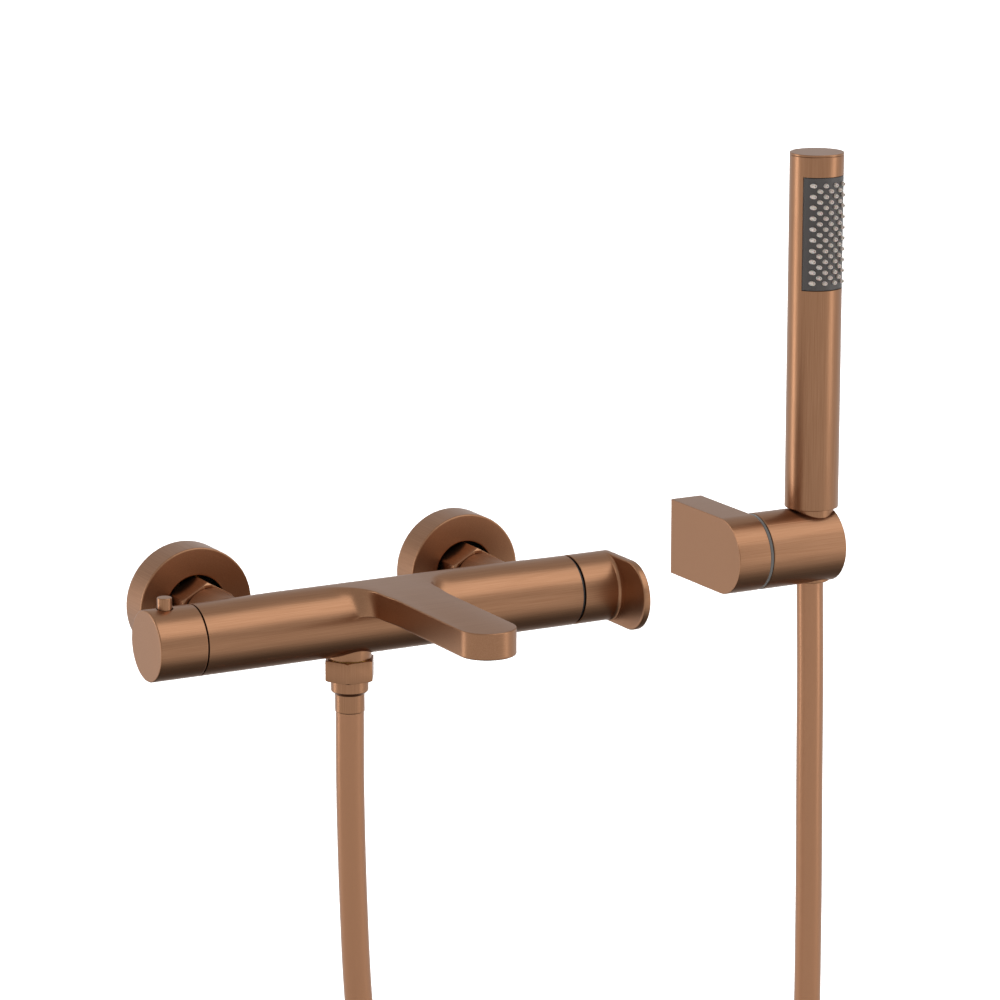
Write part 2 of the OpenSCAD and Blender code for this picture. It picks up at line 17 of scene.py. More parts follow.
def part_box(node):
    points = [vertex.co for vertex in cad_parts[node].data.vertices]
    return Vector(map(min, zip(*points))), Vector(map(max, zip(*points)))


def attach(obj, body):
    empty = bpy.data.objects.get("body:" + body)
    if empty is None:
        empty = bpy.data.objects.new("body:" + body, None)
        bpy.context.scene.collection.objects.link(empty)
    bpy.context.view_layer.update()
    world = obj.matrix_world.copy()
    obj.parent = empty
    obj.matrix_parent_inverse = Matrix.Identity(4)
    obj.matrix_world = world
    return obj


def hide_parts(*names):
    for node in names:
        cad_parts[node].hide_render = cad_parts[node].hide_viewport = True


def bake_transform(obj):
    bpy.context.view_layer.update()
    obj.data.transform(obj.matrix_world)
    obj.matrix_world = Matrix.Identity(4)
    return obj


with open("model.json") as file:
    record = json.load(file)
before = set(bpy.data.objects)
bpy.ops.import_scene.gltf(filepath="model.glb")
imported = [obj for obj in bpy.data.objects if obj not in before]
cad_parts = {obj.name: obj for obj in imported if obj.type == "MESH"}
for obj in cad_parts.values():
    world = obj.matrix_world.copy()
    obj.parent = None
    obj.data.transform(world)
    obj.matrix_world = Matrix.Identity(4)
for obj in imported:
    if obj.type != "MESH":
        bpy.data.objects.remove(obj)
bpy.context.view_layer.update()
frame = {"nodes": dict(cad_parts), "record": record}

# %% [markdown]
# ## Sizes from the frame
# Everything is placed from the boxes of the CAD nodes, so a piece is never fitted by eye. The few sizes
# that no box gives, such as the radius of an edge, are named here in millimetres.

# %% Sizes
MM = 0.001
knob_low, knob_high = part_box("temperature_knob")
body_low, body_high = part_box("mixer_body")
handle_low, handle_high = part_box("flow_handle")
aerator_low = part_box("aerator_housing")[0]
block_low, block_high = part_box("bracket_block")
holder_low, holder_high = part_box("holder")
tube_low, tube_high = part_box("shower_tube")
cap_low, cap_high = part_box("shower_cap")
plate_low, plate_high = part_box("spray_plate")
button_low, button_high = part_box("stop_button")
nut_low, nut_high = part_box("hose_hex_nut")
sleeve_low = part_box("hose_sleeve")[0]
hose_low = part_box("hose_main")[0]
tail_low, tail_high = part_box("hose_tail")
cone_low, cone_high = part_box("cone_nut")

R = (knob_high[2] - knob_low[2]) / 2
AXIS_Y = (knob_low[1] + knob_high[1]) / 2
OUTLET_X = (nut_low[0] + nut_high[0]) / 2
HOSE_R = (tail_high[0] - tail_low[0]) / 2
TUBE_R = (tube_high[0] - tube_low[0]) / 2
SHOWER = Vector(((tube_low[0] + tube_high[0]) / 2, (tube_low[1] + tube_high[1]) / 2, 0))
BRACKET_Y = (holder_low[1] + holder_high[1]) / 2
BRACKET_R = (holder_high[2] - holder_low[2]) / 2
print(f"barrel radius {R / MM:.1f} mm, hose radius {HOSE_R / MM:.1f} mm")

# %% [markdown]
# ## The camera
# The set is seen from the left and a little above, through a long lens, so parallel edges nearly stay
# parallel. The camera is made first, because the hose is checked against what it sees.

# %% Camera
def add_object(name, data):
    """A new object in the scene, at the origin."""
    made = bpy.data.objects.new(name, data)
    bpy.context.scene.collection.objects.link(made)
    return made


SENSOR_MM, LENS_MM = 36, 160.1
AZIMUTH = math.radians(-28.52)
ELEVATION = math.radians(13.03)
AIM = Vector((111.38, 11.57, 27.66)) * MM
DISTANCE = 2298.2 * MM
back = Vector((math.sin(AZIMUTH) * math.cos(ELEVATION),
               -math.cos(AZIMUTH) * math.cos(ELEVATION),
               math.sin(ELEVATION)))
camera = add_object("camera", bpy.data.cameras.new("camera"))
camera.data.sensor_width = SENSOR_MM
camera.data.lens = LENS_MM
camera.location = AIM + back * DISTANCE
camera.rotation_mode = "QUATERNION"
camera.rotation_quaternion = (-back).to_track_quat("-Z", "Y")
camera.data.clip_start = 0.1
camera.data.clip_end = 100
bpy.context.scene.camera = camera
print(f"camera {DISTANCE:.2f} m away, lens {LENS_MM} mm")

# %% [markdown]
# ## Colours and a helper for materials
# Colours are written as they look on a screen, in hex, and one function turns them to the linear values
# that the shader needs. A second small function adds a node with its settings and its links.

# %% Colour and node helpers
def linear(hex_colour):
    channels = [int(hex_colour[i:i + 2], 16) / 255 for i in (1, 3, 5)]
    return [c / 12.92 if c <= 0.04045 else ((c + 0.055) / 1.055) ** 2.4 for c in channels] + [1.0]


def add(material, kind, settings=None, inputs=None, **links):
    node = material.node_tree.nodes.new(kind)
    for name, value in (settings or {}).items():
        setattr(node, name, value)
    for name, value in (inputs or {}).items():
        node.inputs[name].default_value = value
    for name, socket in links.items():
        material.node_tree.links.new(socket, node.inputs[name.replace("_", " ")])
    return node


def new_material(name, colour, metallic, roughness, **sockets):
    material = bpy.data.materials.new(name)
    material.use_nodes = True
    shader = material.node_tree.nodes["Principled BSDF"]
    shader.inputs["Base Color"].default_value = linear(colour)
    shader.inputs["Metallic"].default_value = metallic
    shader.inputs["Roughness"].default_value = roughness
    for key, value in sockets.items():
        shader.inputs[key.replace("_", " ")].default_value = value
    return material, shader


# %% [markdown]
# ## Brushed copper
# The brass castings carry a copper coloured vapour coating over a brushed surface. A brushed metal is made
# of very fine parallel scratches, so it mirrors softly, and more softly across the scratches than along
# them. The scratches are a noise that is squeezed across the brushing direction and stretched along it.
# Each piece is brushed in its own direction, so one function makes the material for a given direction.
# Real scratches are about 0.05 mm wide; they are drawn about 0.25 mm wide, the finest that shows here.

# %% Brushed copper
SCRATCH_MM = 0.25
SCRATCH_LENGTH_MM = 30
CLOUDS_PER_METRE = 22.0
COPPER, COPPER_DARK = "#A87D5F", "#9A7053"
COPPER_ROUGHNESS = 0.32


def brushed_metal(name, colour, dark, roughness, along, bump=0.06):
    material, shader = new_material(name, colour, 1.0, roughness)
    place = add(material, "ShaderNodeTexCoord").outputs["Object"]
    fine = [1 / (SCRATCH_MM * MM)] * 3
    fine[along] = 1 / (SCRATCH_LENGTH_MM * MM)
    stretched = add(material, "ShaderNodeMapping", inputs={"Scale": fine}, Vector=place)
    scratches = add(material, "ShaderNodeTexNoise", inputs={"Scale": 1.0, "Detail": 3.0, "Roughness": 0.6},
                    Vector=stretched.outputs["Vector"])
    clouds = add(material, "ShaderNodeTexNoise", inputs={"Scale": CLOUDS_PER_METRE, "Detail": 2.0},
                 Vector=place)
    tint = add(material, "ShaderNodeMapRange", inputs={"From Min": 0.35, "From Max": 0.65},
               Value=scratches.outputs["Fac"])
    mixed = add(material, "ShaderNodeMix", {"data_type": "RGBA"})
    mixed.inputs["A"].default_value = linear(dark)
    mixed.inputs["B"].default_value = linear(colour)
    links = material.node_tree.links
    links.new(tint.outputs["Result"], mixed.inputs["Factor"])
    links.new(mixed.outputs["Result"], shader.inputs["Base Color"])
    gloss = add(material, "ShaderNodeMapRange",
                inputs={"To Min": roughness - 0.04, "To Max": roughness + 0.05}, Value=clouds.outputs["Fac"])
    links.new(gloss.outputs["Result"], shader.inputs["Roughness"])
    relief = add(material, "ShaderNodeBump", inputs={"Strength": bump, "Distance": 0.02 * MM},
                 Height=scratches.outputs["Fac"])
    links.new(relief.outputs["Normal"], shader.inputs["Normal"])
    return material


# Brushed copper: a warm metal with long soft highlights, and fine streaks that show only close by.
copper_x, copper_y, copper_z = [
    brushed_metal(f"brushed_copper_along_{letter}", COPPER, COPPER_DARK, COPPER_ROUGHNESS, axis)
    for axis, letter in enumerate("xyz")]
print("copper:", ", ".join(made.name for made in (copper_x, copper_y, copper_z)))

# %% [markdown]
# ## The other finishes
# Bare brass and stainless steel are hidden inside or behind, as are the moulded plastics and rubber seals.
# Plastic and rubber are dielectrics with a fine moulded grain, about 0.3 mm across on the plastic.

# %% Plastics, rubber and plain metals
GRAIN_MM = 0.3


def moulded(name, colour, roughness, grain=0.10, **sockets):
    material, shader = new_material(name, colour, 0.0, roughness, **sockets)
    place = add(material, "ShaderNodeTexCoord").outputs["Object"]
    noise = add(material, "ShaderNodeTexNoise", inputs={"Scale": 1 / (GRAIN_MM * MM), "Detail": 2.0},
                Vector=place)
    relief = add(material, "ShaderNodeBump", inputs={"Strength": grain, "Distance": 0.03 * MM},
                 Height=noise.outputs["Fac"])
    sheen = add(material, "ShaderNodeMapRange",
                inputs={"To Min": roughness - 0.05, "To Max": roughness + 0.05}, Value=noise.outputs["Fac"])
    material.node_tree.links.new(relief.outputs["Normal"], shader.inputs["Normal"])
    material.node_tree.links.new(sheen.outputs["Result"], shader.inputs["Roughness"])
    return material


# Turned brass: yellow, with the fine rings of a lathe.
brass = brushed_metal("turned_brass", "#C9A860", "#B08F4C", 0.30, 0)
# Stainless steel: a colder and paler metal.
steel = brushed_metal("turned_stainless_steel", "#B9B8B4", "#A3A29E", 0.28, 0)
# ABS: the dark grey spray plate and the black ring are dull and nearly even.
dark_abs = moulded("dark_grey_abs", "#3F3A38", 0.42, IOR=1.54)
black_abs = moulded("black_abs", "#151515", 0.45, IOR=1.54)
# Acetal: a slightly waxy plastic, grey on the friction ring and white inside.
grey_acetal = moulded("grey_acetal", "#575451", 0.42, IOR=1.48)
white_acetal = moulded("white_acetal", "#DDDCD6", 0.4, IOR=1.48)
# Lapped alumina: white, smooth and almost shiny.
ceramic = moulded("lapped_alumina", "#E6E4DE", 0.18, grain=0.02, IOR=1.76)
# EPDM rubber: black and dull.
rubber = moulded("black_epdm_rubber", "#1B1B1B", 0.7, IOR=1.5)
# Silicone: pale and soft, as a little light goes through the thin nozzles.
silicone = moulded("warm_grey_silicone", "#B4AAA2", 0.45, grain=0.05, IOR=1.43, Subsurface_Weight=0.15,
                   Subsurface_Scale=0.001)
# PVC with metal flakes: it mirrors like the copper, but more evenly, as it has no scratches.
SHEATH_METALLIC = 0.85
hose_sheath = moulded("copper_pvc_sheath", "#A87A5B", 0.30, grain=0.03, IOR=1.53)
hose_sheath.node_tree.nodes["Principled BSDF"].inputs["Metallic"].default_value = SHEATH_METALLIC
print(len(bpy.data.materials), "materials")

# %% [markdown]
# ## Helpers for turned and swept pieces
# Most pieces were turned on a lathe, so one function spins a profile round an axis. A second one rounds a
# profile's corners, because a sharp edge catches no light and looks like a drawing. Weighted normals keep
# the flats flat beside those small rounds.

# %% Mesh helpers
SPIN = 96
FINE_SPIN = 160
EDGE = 0.5 * MM


def soften(points, radius=EDGE, steps=4, closed=False):
    """The profile with each corner replaced by a small curve."""
    count = len(points)
    out = []
    for i, point in enumerate(points):
        if not closed and i in (0, count - 1):
            out.append(point)
            continue
        here = Vector(point)
        before, after = Vector(points[i - 1]), Vector(points[(i + 1) % count])
        reach = min(radius, (before - here).length * 0.45, (after - here).length * 0.45)
        start = here + (before - here).normalized() * reach
        end = here + (after - here).normalized() * reach
        for s in range(steps + 1):
            t = s / steps
            out.append(tuple(start * (1 - t) ** 2 + here * 2 * t * (1 - t) + end * t ** 2))
    return out


def finish_piece(name, mesh, material, weighted=True):
    piece = add_object(name, mesh)
    mesh.materials.clear()
    mesh.materials.append(material)
    mesh.shade_smooth()
    if weighted:
        mesh.set_sharp_from_angle(angle=math.radians(40))
        modifier = piece.modifiers.new("normals", "WEIGHTED_NORMAL")
        modifier.keep_sharp = True
        bake(piece)
    return piece


def bake(piece):
    """Turns the piece and its modifiers into a plain mesh."""
    bpy.context.view_layer.update()
    ready = piece.evaluated_get(bpy.context.evaluated_depsgraph_get())
    mesh = bpy.data.meshes.new_from_object(ready)
    piece.modifiers.clear()
    piece.data = mesh
    return piece


def shade(piece, degrees):
    """Smooth shading, with a hard edge wherever two faces meet at more than the given angle."""
    piece.data.shade_smooth()
    piece.data.set_sharp_from_angle(angle=math.radians(degrees))


def mesh_of(verts, faces, name):
    """A mesh whose points that lie in one place are merged and whose faces all look outwards."""
    mesh = bpy.data.meshes.new(name)
    mesh.from_pydata([tuple(v) for v in verts], [], faces)
    tidy = bmesh.new()
    tidy.from_mesh(mesh)
    bmesh.ops.remove_doubles(tidy, verts=tidy.verts, dist=1e-6)
    bmesh.ops.dissolve_degenerate(tidy, dist=1e-7, edges=tidy.edges)
    bmesh.ops.recalc_face_normals(tidy, faces=tidy.faces)
    tidy.to_mesh(mesh)
    tidy.free()
    return mesh


def turned_mesh(name, profile, axis, centre, closed=False, spin=SPIN):
    """A mesh from (distance along the axis, radius) points. Axis 0 is X, 1 is Y, 2 is Z."""
    verts, faces = [], []
    across = [(1, 2), (2, 0), (0, 1)][axis]
    for i in range(spin):
        angle = 2 * math.pi * i / spin
        for along, radius in profile:
            point = [0.0, 0.0, 0.0]
            point[axis] = along
            point[across[0]] = centre[across[0]] + radius * math.cos(angle)
            point[across[1]] = centre[across[1]] + radius * math.sin(angle)
            verts.append(point)
    n = len(profile)
    for i in range(spin):
        j = (i + 1) % spin
        for k in range(n if closed else n - 1):
            m = (k + 1) % n
            faces.append((i * n + k, i * n + m, j * n + m, j * n + k))
    return mesh_of(verts, faces, name)


def turned(name, profile, axis, centre, material, closed=False, radius=EDGE, spin=SPIN):
    mesh = turned_mesh(name, soften(profile, radius, closed=closed), axis, centre, closed, spin)
    return finish_piece(name, mesh, material)


def lofted_mesh(name, rings):
    """A closed mesh through rings of points, with a flat face on the first and the last."""
    verts = [point for ring in rings for point in ring]
    n, last = len(rings[0]), len(rings) - 1
    faces = []
    for i in range(last):
        for j in range(n):
            k = (j + 1) % n
            faces.append((i * n + j, i * n + k, (i + 1) * n + k, (i + 1) * n + j))
    faces.append(tuple(range(n)))
    faces.append(tuple(last * n + j for j in range(n)))
    return mesh_of(verts, faces, name)


def combine(piece, other, operation):
    """Cuts the other piece out of this one, or melts the two together, and removes the other."""
    modifier = piece.modifiers.new("cut", "BOOLEAN")
    modifier.operation = operation
    modifier.solver = "EXACT"
    modifier.object = other
    bake(piece)
    bpy.data.objects.remove(other)
    return piece


def plain_tool(name, profile, axis, centre, spin=SPIN):
    """A turned body to cut with."""
    return add_object(name, turned_mesh(name, profile, axis, centre, spin=spin))


def rod(low, high, radius):
    """The profile of a plain cylinder between two places on its axis."""
    return [(low, 0), (low, radius), (high, radius), (high, 0)]


def box_tool(name, centre, size):
    """A plain box to cut with."""
    mesh = bpy.data.meshes.new(name)
    cube = bmesh.new()
    bmesh.ops.create_cube(cube, size=1.0)
    cube.to_mesh(mesh)
    cube.free()
    mesh.transform(Matrix.Translation(centre) @ Matrix.Diagonal((*size, 1)))
    return add_object(name, mesh)


def joined(name, meshes, material):
    """Several meshes as one piece."""
    whole = bmesh.new()
    for mesh in meshes:
        whole.from_mesh(mesh)
    mesh = bpy.data.meshes.new(name)
    whole.to_mesh(mesh)
    whole.free()
    return finish_piece(name, mesh, material)


# %% [markdown]
# ## The hose
# The hose is a smooth plastic sheath over a reinforced tube, 14 mm thick, and 1.25 m long with its ends. It
# leaves the mixer straight down, hangs in a long loop, and comes up under the holder. A hose is one smooth
# curve, so the route is a short list of points, with a spline through them.
# Three lengths follow each other: the loop stays with the mixer, and the rise and the top come after it.
# The rise ends close below the holder, which keeps the bent hose off the wall, and is long enough for a bend
# that such a hose can take.

# %% Route of the hose
ROUTE_MM = [
    (-19.4, -46.1), (-18.8, -90), (-16.9, -145), (-13.6, -200), (-6, -272),
    (6, -352), (25, -432), (52, -504), (88, -555), (138, -574), (187, -556), (220, -506), (242, -434),
    (255, -354), (260.8, -275), (262.2, -200), (262.3, -130),
    (262.6, -70), (262.5, -24.5)]
LAST = len(ROUTE_MM) - 1
STEPS, TOP_STEPS = 16, 8
RISE_LOW_Z, RISE_HIGH_Z = -0.245, -0.078
route = [Vector((x * MM, AXIS_Y + (BRACKET_Y - AXIS_Y) * i / LAST, z * MM))
         for i, (x, z) in enumerate(ROUTE_MM)]


def spline_point(u):
    """The place on the smooth curve through the route; u counts its points."""
    i = min(int(u), LAST - 1)
    t = u - i
    b, c = route[i], route[i + 1]
    a = route[i - 1] if i > 0 else 2 * b - c
    d = route[i + 2] if i + 2 <= LAST else 2 * c - b
    return 0.5 * (2 * b + (c - a) * t + (2 * a - 5 * b + 4 * c - d) * t ** 2
                  + (3 * b - 3 * c + d - a) * t ** 3)


def along(points):
    """The length of a line of points."""
    return sum((b - a).length for a, b in zip(points, points[1:]))


line = [spline_point(i / STEPS) for i in range(LAST * STEPS + 1)]
top_end = Vector((SHOWER.x, SHOWER.y, tail_high[2]))
line += [line[-1].lerp(top_end, t / TOP_STEPS) for t in range(1, TOP_STEPS + 1)]
print(f"hose from sleeve to cone nut: {along(line):.3f} m")

# %% [markdown]
# The tube is swept along that line as a ring of points at every step. The bends lie in one upright plane,
# more or less, so the sideways direction of each ring can stay level, and the tube never twists.

# %% Sweep a tube
def swept_tube(name, points, radius, material, sides=32):
    angles = [2 * math.pi * j / sides for j in range(sides)]
    rings = []
    for i, point in enumerate(points):
        ahead = points[min(i + 1, len(points) - 1)] - points[max(i - 1, 0)]
        ahead.normalize()
        side = Vector((0, 1, 0)).cross(ahead).normalized()
        up = ahead.cross(side)
        rings.append([point + radius * (side * math.cos(angle) + up * math.sin(angle)) for angle in angles])
    piece = finish_piece(name, lofted_mesh(name, rings), material, weighted=False)
    shade(piece, 60)
    return piece


def cut_index(height):
    """The step of the rising side nearest to a height."""
    half = len(line) // 2
    return min(range(half, len(line)), key=lambda i: abs(line[i].z - height))


low_cut, high_cut = cut_index(RISE_LOW_Z), cut_index(RISE_HIGH_Z)
loop_line, rise_line, top_line = line[:low_cut + 1], line[low_cut:high_cut + 1], line[high_cut:]
hose_loop = swept_tube("hose_loop", loop_line, HOSE_R, hose_sheath)
hose_rise = swept_tube("hose_rise", rise_line, HOSE_R, hose_sheath)
hose_top = swept_tube("hose_top", top_line, HOSE_R, hose_sheath)
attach(hose_loop, "base")
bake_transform(hose_rise)
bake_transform(hose_top)
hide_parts("hose_main")
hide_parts("hose_tail")
for piece, points in ((hose_loop, loop_line), (hose_rise, rise_line), (hose_top, top_line)):
    print(piece.name, f"{along(points):.3f} m")

# %% [markdown]
# ## The mixer's body
# The barrel and the spout are one casting. The barrel is a cylinder whose top is pulled up by half a
# millimetre along its middle, where the spout's flat top runs out of it. The spout is a flat plate with a
# round tip, and where it leaves the barrel its sides open out in a hollow curve.
#
# A boolean of two solids would leave a hard line there. Instead the whole skin is one grid: each row is a
# horizontal line along the barrel at one height, and the rows at the spout's height leave the barrel and go
# round the spout. Where rows meet in one line, their points are merged.

# %% Outline of one row
HALF = body_high[0]
SPOUT_W, ROOT_W = 14 * MM, 15.5 * MM  # half the spout's width, along it and at its root
ROOT_Y = AXIS_Y - 25 * MM
TAPER_Y = AXIS_Y - 43 * MM
TIP_Y = body_low[1] + SPOUT_W
TOP_Z = body_high[2]
UNDER_Z = aerator_low[2]
CROWN = TOP_Z - R
ROUND = 0.6 * MM
CROWN_FLAT, CROWN_RUNOUT = 55 * MM, 45 * MM
BARREL_STEPS, HOLLOW_STEPS, TAPER_STEPS, SIDE_STEPS, TIP_STEPS = 26, 14, 6, 8, 16


def smooth(t):
    """A soft step from 0 to 1."""
    t = min(max(t, 0.0), 1.0)
    return t * t * (3 - 2 * t)


def top_radius(x):
    """Height of the barrel's top at x: the crown runs out towards the ends."""
    return R + CROWN * (1 - smooth((abs(x) - CROWN_FLAT) / CROWN_RUNOUT))


def half_row(front, inset):
    """Points from the barrel's left end to the spout's tip, for a row whose barrel line is at y = front."""
    reach = front - ROOT_Y
    root = ROOT_W - inset
    start = -(root + reach)
    points = [(-HALF + (start + HALF) * (i / BARREL_STEPS), front) for i in range(BARREL_STEPS + 1)]
    for i in range(1, HOLLOW_STEPS + 1):
        angle = math.pi / 2 * (1 - i / HOLLOW_STEPS)
        points.append((start + reach * math.cos(angle), ROOT_Y + reach * math.sin(angle)))
    for i in range(1, TAPER_STEPS + 1):
        t = i / TAPER_STEPS
        points.append((-(root + (SPOUT_W - ROOT_W) * smooth(t)), ROOT_Y + (TAPER_Y - ROOT_Y) * t))
    side = SPOUT_W - inset
    for i in range(1, SIDE_STEPS + 1):
        points.append((-side, TAPER_Y + (TIP_Y - TAPER_Y) * i / SIDE_STEPS))
    for i in range(1, TIP_STEPS + 1):
        angle = math.pi / 2 * i / TIP_STEPS
        points.append((-side * math.cos(angle), TIP_Y - side * math.sin(angle)))
    return points


def straight_row(front):
    """The same number of points on the barrel line, for the rows that the spout doesn't reach. The hollow
    curve's points move straight back, so that no face of the flat top crosses it."""
    shape = half_row(front, ROUND)
    points = [(x, front) for x, y in shape[:BARREL_STEPS + 1 + HOLLOW_STEPS]]
    rest = len(shape) - len(points)
    last_x = points[-1][0]
    return points + [(last_x * (1 - (i + 1) / rest), front) for i in range(rest)]


def whole_row(half, angle):
    """Both halves, lifted to the barrel's height where they lie on it and to the spout's elsewhere."""
    out = []
    mirrored = half + [(-x, y) for x, y in reversed(half[:-1])]
    for x, y in mirrored:
        lift = top_radius(x) if math.sin(angle) > 0 else R
        out.append(Vector((x, y, lift * math.sin(angle))))
    return out


# %% Rows round the barrel
UNDER_ROWS, FRONT_ROWS, UPPER_ROWS, AROUND = 4, 24, 5, 84


def front_of(angle):
    """How far back the barrel's front is at an angle above the level line."""
    return AXIS_Y - R * math.cos(angle)


def angle_at(z):
    """The angle at which the crowned barrel has a height."""
    return math.asin(min(z / TOP_Z, 1.0))


rows = []
under = angle_at(UNDER_Z)
rows.append(whole_row(straight_row(front_of(under)), under))
for i in range(UNDER_ROWS + 1):
    bend = math.pi / 2 * i / UNDER_ROWS
    level = angle_at(UNDER_Z + ROUND * (1 - math.cos(bend)))
    rows.append(whole_row(half_row(front_of(level), ROUND * (1 - math.sin(bend))), level))
first, last = angle_at(UNDER_Z + ROUND), angle_at(TOP_Z - ROUND)
for i in range(1, FRONT_ROWS + 1):
    level = first + (last - first) * i / FRONT_ROWS
    rows.append(whole_row(half_row(front_of(level), 0), level))
for i in range(1, UPPER_ROWS + 1):
    bend = math.pi / 2 * i / UPPER_ROWS
    level = angle_at(TOP_Z - ROUND * (1 - math.sin(bend)))
    rows.append(whole_row(half_row(front_of(level), ROUND * (1 - math.cos(bend))), level))
rows.append(whole_row(straight_row(AXIS_Y), math.pi / 2))
for i in range(1, AROUND):
    level = math.pi / 2 + (3 * math.pi / 2 + under) * i / AROUND
    rows.append(whole_row(straight_row(front_of(level)), level))
print(len(rows), "rows of", len(rows[0]), "points")

# %% [markdown]
# The rows close into a tube. At each end the skin turns in over a small round, crosses the face and goes
# down into the pocket that holds the cartridge, so the shell is closed and has a real edge at the gap.

# %% Close the shell
POCKET_DEPTH_MM = 12
POCKET = 14.5 / 17.5
# Each ring's place along the barrel from its end in mm (outwards counts as nothing), and its share of the
# barrel's radius.
END_RINGS = ((0.15, 0.9957), (0.3, 0.9886), (0.3, POCKET), (-POCKET_DEPTH_MM, POCKET),
             (-POCKET_DEPTH_MM, 0.02))
RECESS_R, RECESS_DEPTH = 11 * MM, 8 * MM


def mixer_mesh():
    columns = len(rows[0])
    verts = [v for row in rows for v in row]
    faces = []
    count = len(rows)
    for j in range(count):
        k = (j + 1) % count
        for i in range(columns - 1):
            faces.append((j * columns + i, j * columns + i + 1, k * columns + i + 1, k * columns + i))
    centre = Vector((0, AXIS_Y, 0))
    for side, column in ((-1, 0), (1, columns - 1)):
        previous = [j * columns + column for j in range(count)]
        for shift, scale in END_RINGS:
            ring = []
            for j in range(count):
                rim = rows[j][column]
                out = centre + (Vector((0, rim.y, rim.z)) - centre) * scale
                ring.append(len(verts))
                verts.append(Vector((side * (HALF + min(shift, 0) * MM), out.y, out.z)))
            for j in range(count):
                k = (j + 1) % count
                faces.append((previous[j], previous[k], ring[k], ring[j]))
            previous = ring
        faces.append(tuple(previous))
    return mesh_of(verts, faces, "mixer_shell")


mixer_shell = finish_piece("mixer_shell", mixer_mesh(), copper_x, weighted=False)
recess = rod(UNDER_Z - 1 * MM, UNDER_Z + RECESS_DEPTH, RECESS_R)
combine(mixer_shell, plain_tool("recess", recess, 2, (0, TIP_Y, 0)), "DIFFERENCE")
shade(mixer_shell, 30)
print("mixer shell:", len(mixer_shell.data.polygons), "faces")

# %% [markdown]
# ## Bosses and rosettes
# Two round bosses lead back from the barrel to the union nuts, and a short stub points down to the hose.
# They belong to the casting, and a small flare where they meet the barrel stands for its casting radius.
# Inside the barrel they stop at its wall, which leaves the room of the cartridges free.
# The rosettes are spun cups that hide the holes in the wall.

# %% Bosses, outlet stub and rosettes
BOSS_R, FLARE_R, STUB_R = 13 * MM, 14.2 * MM, 10.8 * MM
BOSS_END = AXIS_Y + 6 * MM
SHELL_WALL = 1.5 * MM
ROSETTE_HOLE_R, ROSETTE_FACE, ROSETTE_WALL = 16 * MM, 2.4 * MM, 2 * MM
ROSETTE_SPIN = 128
boss_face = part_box("inlet_nut_left")[0][1] - 0.5 * MM
INLETS = [("left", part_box("rosette_left")), ("right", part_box("rosette_right"))]


def middle_of(low, high):
    """Where the axis of an inlet's turned piece crosses the wall."""
    return (low[0] + high[0]) / 2, 0, (low[2] + high[2]) / 2


boss_meshes = []
for side, box in INLETS:
    profile = [(boss_face, 0), (boss_face, BOSS_R), (AXIS_Y + R + 2.5 * MM, BOSS_R),
               (AXIS_Y + R - 2 * MM, FLARE_R), (BOSS_END, FLARE_R), (BOSS_END, 0)]
    boss_meshes.append(turned_mesh("boss", soften(profile, 0.8 * MM), 1, middle_of(*box)))
stub = rod(nut_high[2] + 0.2 * MM, -R + 6 * MM, STUB_R)
boss_meshes.append(turned_mesh("stub", soften(stub, 0.4 * MM), 2, (OUTLET_X, AXIS_Y, 0)))
bosses = joined("inlet_bosses_and_stub", boss_meshes, copper_y)
inside = rod(-HALF, HALF, R - SHELL_WALL)
combine(bosses, plain_tool("inside", inside, 0, (0, AXIS_Y, 0)), "DIFFERENCE")
for side, (low, high) in INLETS:
    outer, front = (high[0] - low[0]) / 2, low[1]
    inner = outer - ROSETTE_WALL
    profile = [(0, outer), (front, outer), (front, ROSETTE_HOLE_R), (front + ROSETTE_FACE, ROSETTE_HOLE_R),
               (front + ROSETTE_FACE, inner), (0, inner)]
    rosette = turned(f"rosette_cup_{side}", profile, 1, middle_of(low, high), copper_y, closed=True,
                     radius=0.9 * MM, spin=ROSETTE_SPIN)
    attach(rosette, "base")
    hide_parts(f"rosette_{side}")
for piece in (mixer_shell, bosses):
    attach(piece, "base")
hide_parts("mixer_body")
print("bosses:", len(bosses.data.polygons), "faces; rosettes", round(2 * outer / MM), "mm across")

# %% [markdown]
# ## Hexagon nuts
# A nut is a hexagonal bar whose corners were turned off to a cone at each end, which leaves the curved
# edges that everyone knows. Melting a hexagon prism with a turned double cone gives exactly that shape.

# %% Nuts
NUT_BEVEL = 0.18 * MM
CONE_SLOPE = 0.6


def hex_nut(name, flats, low, high, axis, centre, bore, lean, material):
    """A nut of a width across flats. The double cone takes lean off each corner."""
    corner = flats / 2 / math.cos(math.pi / 6)
    prism_mesh = turned_mesh(name, [(low, bore), (low, corner), (high, corner), (high, bore)], axis, centre,
                             closed=True, spin=6)
    nut = add_object(name, prism_mesh)
    rise = lean * CONE_SLOPE
    cone = [(low, 0), (low, corner - lean), (low + rise, corner), (high - rise, corner),
            (high, corner - lean), (high, 0)]
    combine(nut, plain_tool("cone", cone, axis, centre), "INTERSECT")
    nut.data.materials.clear()
    nut.data.materials.append(material)
    bevel = nut.modifiers.new("edges", "BEVEL")
    bevel.width = NUT_BEVEL
    bevel.segments = 2
    bevel.limit_method = "ANGLE"
    bevel.angle_limit = math.radians(35)
    bevel.harden_normals = False
    bake(nut)
    shade(nut, 30)
    return nut


